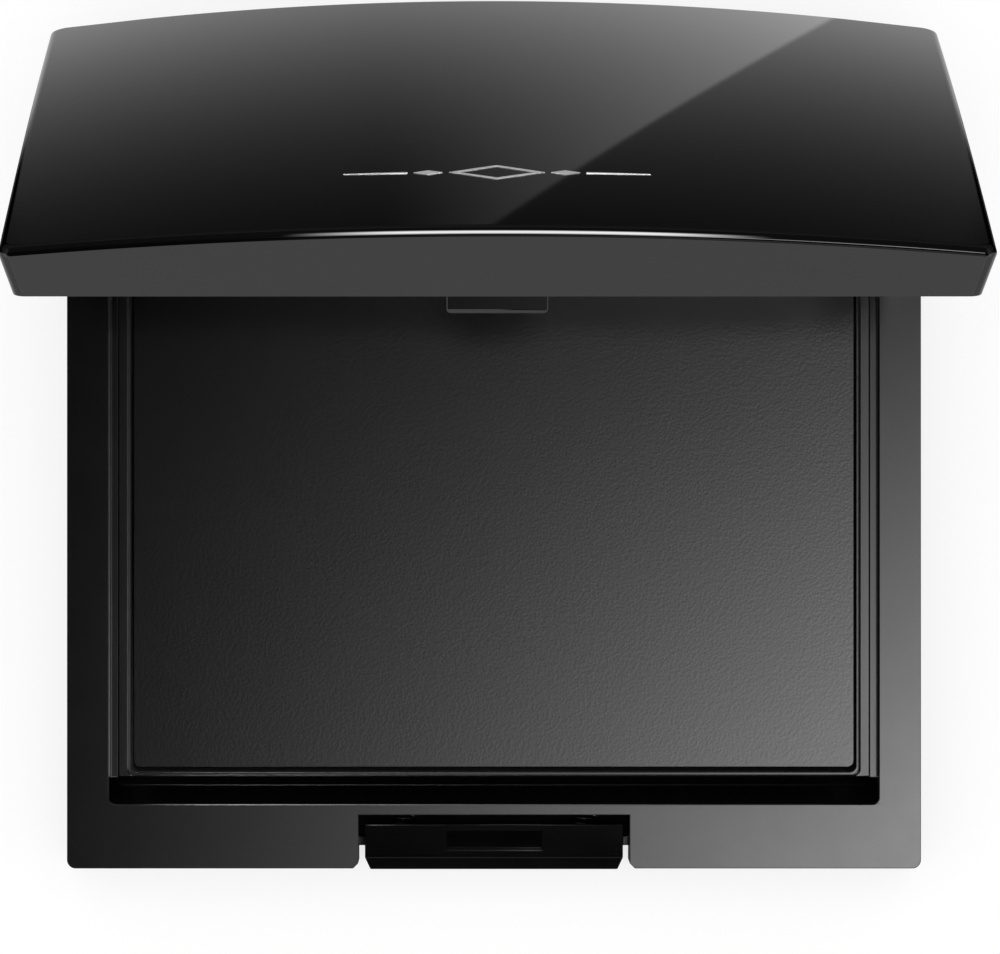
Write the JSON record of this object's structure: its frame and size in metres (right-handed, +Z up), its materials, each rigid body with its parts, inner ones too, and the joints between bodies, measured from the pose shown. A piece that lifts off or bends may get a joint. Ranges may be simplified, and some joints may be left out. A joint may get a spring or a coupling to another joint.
{
  "type": "refillable makeup compact",
  "caption": "Shallow rectangular compact with a magnetic tray for refill pans, a hinged arched lid with a mirror and a sprung push-button latch.",
  "frame": {"origin": "centre of the base's flat underside", "axes": "+X to the right, +Y to the hinge at the rear, +Z up; the latch is at -Y"},
  "size_m": [0.0934, 0.0915, 0.0905],
  "materials": {
    "casing_plastic": "glossy black moulded plastic",
    "frame_plastic": "glossy black moulded plastic",
    "liner_plastic": "glossy black moulded plastic",
    "sheet_film": "translucent adhesive film",
    "sheet_rubber": "semi-gloss grained magnetic rubber",
    "button_plastic": "glossy black moulded plastic",
    "spring_steel": "black-oxide spring wire",
    "pin_steel": "ground steel",
    "lid_frame_plastic": "glossy black moulded plastic",
    "lid_gloss": "high-gloss black lacquered plastic",
    "foil_silver": "silver hot-stamped foil",
    "mirror_silver": "silvered glass",
    "mirror_film": "adhesive film"
  },
  "bodies": {
    "base": {"base_casing": "casing_plastic", "base_frame": "frame_plastic", "tray_liner": "liner_plastic", "sheet_adhesive": "sheet_film", "magnet_sheet": "sheet_rubber", "hinge_pin_left": "pin_steel", "hinge_pin_right": "pin_steel", "latch_spring_left": "spring_steel", "latch_spring_right": "spring_steel"},
    "button": {"latch_button": "button_plastic"},
    "lid": {"lid_frame": "lid_frame_plastic", "lid_cover": "lid_gloss", "lid_emblem": "foil_silver", "mirror_glass": "mirror_silver", "mirror_adhesive": "mirror_film"}
  },
  "joints": [
    {"name": "lid_hinge", "type": "hinge", "parent": "base", "child": "lid", "pos_m": [0, 0.0418, 0.00755], "axis": [-1, 0, 0], "range_deg": [-72.5, 47.5]},
    {"name": "button_press", "type": "slide", "parent": "base", "child": "button", "axis": [0, 1, 0], "range_m": [0, 0.00085], "stiffness_N_per_m": 1500, "springref_m": -0.0003, "deforming": ["latch_spring_left", "latch_spring_right"]}
  ]
}
